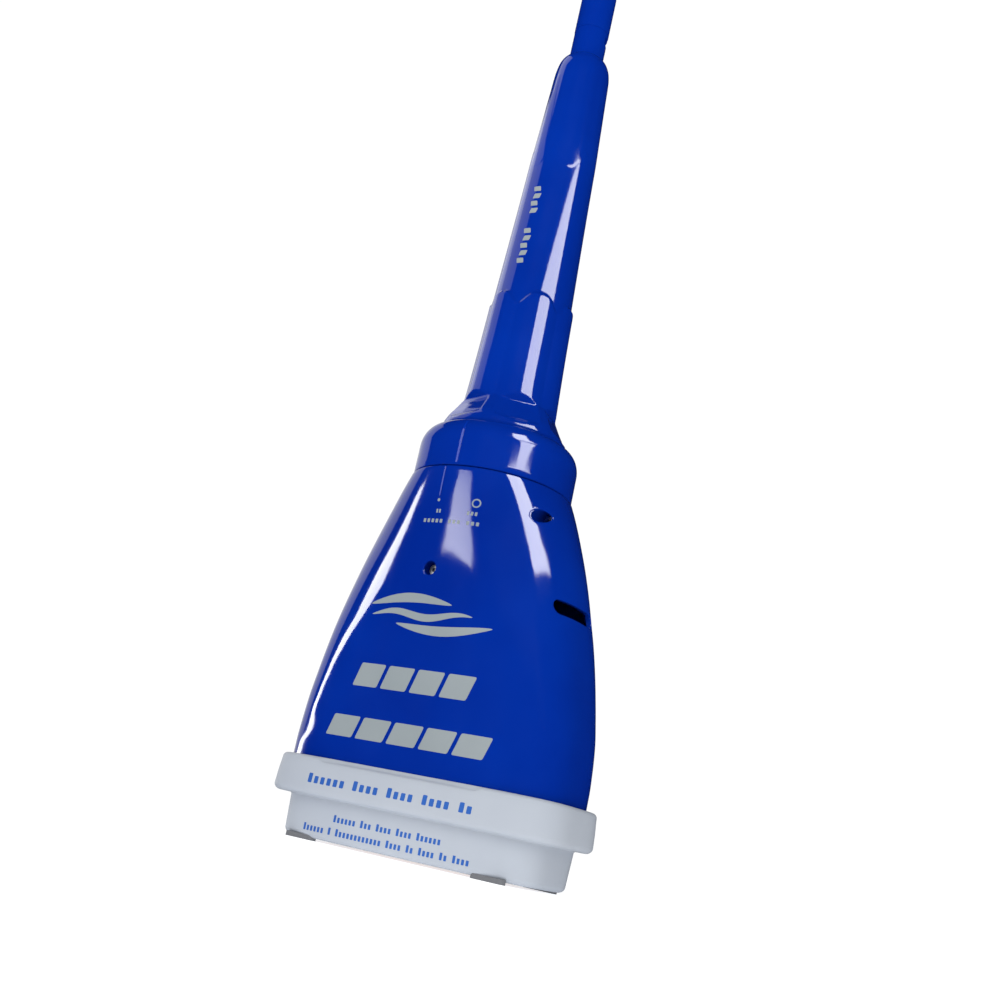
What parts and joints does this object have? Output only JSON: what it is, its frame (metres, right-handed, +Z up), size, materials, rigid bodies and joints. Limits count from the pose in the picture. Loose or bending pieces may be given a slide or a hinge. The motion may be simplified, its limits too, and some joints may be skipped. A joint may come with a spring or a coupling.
{
  "type": "pool vacuum head",
  "caption": "Flared battery pool vacuum head: pull-off slot nozzle with flap valve and filter bag, pump, side outlets, twist-on battery handle and keyed pole spigot.",
  "frame": {"origin": "centre of the mouth plane on the handle's axis, where the glide pads touch the floor", "axes": "+Z up the handle, -Y towards the front face, +X to the right seen from the front"},
  "size_m": [0.168, 0.0862, 0.52],
  "materials": {
    "white_plastic": "satin moulded",
    "blue_plastic": "glossy moulded",
    "rubber": "matt",
    "bag_cloth": "woven mesh",
    "dark_plastic": "moulded",
    "grey_plastic": "moulded",
    "orange_plastic": "moulded",
    "ivory_plastic": "moulded",
    "steel": "stainless",
    "bronze": "sintered",
    "copper": "copper",
    "gilt": "plated",
    "board": "solder resist",
    "ferrite": "sintered",
    "cell_sleeve": "shrink sleeve",
    "lead_red": "insulated"
  },
  "bodies": {
    "head": {"body_front": "blue_plastic", "body_back": "blue_plastic", "body_screws": "steel", "bulkhead": "dark_plastic", "inlet_grille": "dark_plastic", "motor_housing": "grey_plastic", "motor_can": "steel", "motor_magnets": "ferrite", "motor_endbell": "ivory_plastic", "motor_terminals": "gilt", "motor_leads": "lead_red", "motor_screws": "steel", "motor_bearings": "bronze", "shaft_seal": "rubber", "housing_lid": "grey_plastic", "lid_seal": "rubber", "lid_screws": "steel", "contact_pins": "gilt", "neck_oring": "rubber"},
    "nozzle": {"nozzle_cap": "white_plastic", "nozzle_seal": "rubber", "bag_frame": "blue_plastic", "filter_bag": "bag_cloth", "flap_pin": "steel", "glide_pads": "rubber"},
    "flap": {"flap_valve": "orange_plastic"},
    "rotor": {"motor_shaft": "steel", "motor_core": "copper", "impeller": "grey_plastic", "impeller_nut": "gilt"},
    "handle": {"collar_ring": "blue_plastic", "handle_tube": "blue_plastic", "flare_seal": "rubber", "collar_screws": "steel", "contact_rings": "gilt", "contact_board": "board", "battery_caddy": "dark_plastic", "battery_cells": "cell_sleeve", "cell_springs": "steel", "cell_buttons": "steel", "bus_bars": "copper", "pole_spigot": "blue_plastic", "clip_bend": "steel", "clip_pin": "steel"},
    "snap_left": {"leg_left": "steel", "button_left": "blue_plastic"},
    "snap_right": {"leg_right": "steel", "button_right": "blue_plastic"}
  },
  "joints": [
    {"name": "nozzle_pull", "type": "slide", "parent": "head", "child": "nozzle", "axis": [0, 0, -1], "range_m": [0, 0.09]},
    {"name": "flap_swing", "type": "hinge", "parent": "nozzle", "child": "flap", "pos_m": [0, 0.0243, 0.03385], "axis": [-1, 0, 0], "range_deg": [0, 70]},
    {"name": "rotor_spin", "type": "hinge", "parent": "head", "child": "rotor", "pos_m": [0, 0, 0.125], "axis": [0, 0, 1], "continuous": true},
    {"name": "handle_twist", "type": "hinge", "parent": "head", "child": "handle", "pos_m": [0, 0, 0.2], "axis": [0, 0, 1], "range_deg": [-4.5, 19.5]},
    {"name": "snap_left", "type": "hinge", "parent": "handle", "child": "snap_left", "pos_m": [0, 0, 0.4755], "axis": [0, 1, 0], "range_deg": [0, 6], "stiffness_Nm_per_rad": 1.5},
    {"name": "snap_right", "type": "hinge", "parent": "handle", "child": "snap_right", "pos_m": [0, 0, 0.4755], "axis": [0, -1, 0], "range_deg": [0, 6], "stiffness_Nm_per_rad": 1.5}
  ]
}
